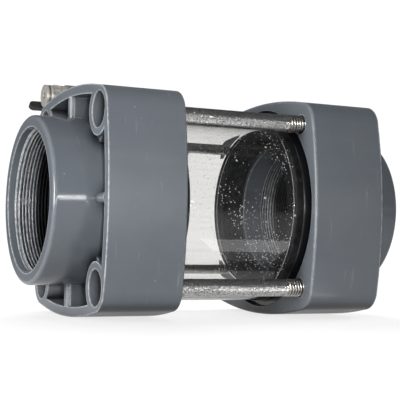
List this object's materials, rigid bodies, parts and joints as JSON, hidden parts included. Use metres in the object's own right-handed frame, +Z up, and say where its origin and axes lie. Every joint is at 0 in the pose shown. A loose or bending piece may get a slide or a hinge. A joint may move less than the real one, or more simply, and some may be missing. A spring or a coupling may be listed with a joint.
{
  "type": "sight glass",
  "caption": "Inline pipe sight glass: clear tube clamped between two threaded plastic end bodies by tie bolts, with a lever vent cock on one corner.",
  "frame": {"origin": "centre of the inlet port's mouth, on the pipe axis in the plane of the inlet hub's end face", "axes": "+X along the pipe axis from inlet to outlet, +Z up, vent cock on the +Y +Z corner of the inlet body"},
  "size_m": [0.1272, 0.0851, 0.0834],
  "materials": {
    "pvc_body": "moulded dark grey PVC, satin",
    "clear_tube": "clear, polished",
    "gasket_rubber": "black sheet rubber",
    "bolt_steel": "rough stainless steel",
    "nut_steel": "stainless steel",
    "washer_steel": "stainless steel",
    "plated_brass": "nickel plated brass, worn",
    "plug_brass": "turned brass",
    "lever_black": "black lever"
  },
  "bodies": {
    "glass_assembly": {"inlet_body": "pvc_body", "outlet_body": "pvc_body", "sight_tube": "clear_tube", "inlet_gasket": "gasket_rubber", "outlet_gasket": "gasket_rubber", "tie_bolt_1": "bolt_steel", "tie_bolt_2": "bolt_steel", "tie_bolt_3": "bolt_steel", "tie_bolt_4": "bolt_steel", "tie_nut_1": "nut_steel", "tie_nut_2": "nut_steel", "tie_nut_3": "nut_steel", "tie_nut_4": "nut_steel", "head_washer_1": "washer_steel", "head_washer_2": "washer_steel", "head_washer_3": "washer_steel", "head_washer_4": "washer_steel", "nut_washer_1": "washer_steel", "nut_washer_2": "washer_steel", "nut_washer_3": "washer_steel", "nut_washer_4": "washer_steel", "vent_body": "plated_brass", "vent_gland": "plated_brass"},
    "cock_lever": {"vent_plug": "plug_brass", "vent_lever": "lever_black", "vent_screw": "washer_steel"}
  },
  "joints": [
    {"name": "cock_lever_turn", "type": "hinge", "parent": "glass_assembly", "child": "cock_lever", "pos_m": [0.0212, 0.04, 0.0408], "axis": [0, 0.8192, -0.5736], "range_deg": [0, 90]}
  ]
}
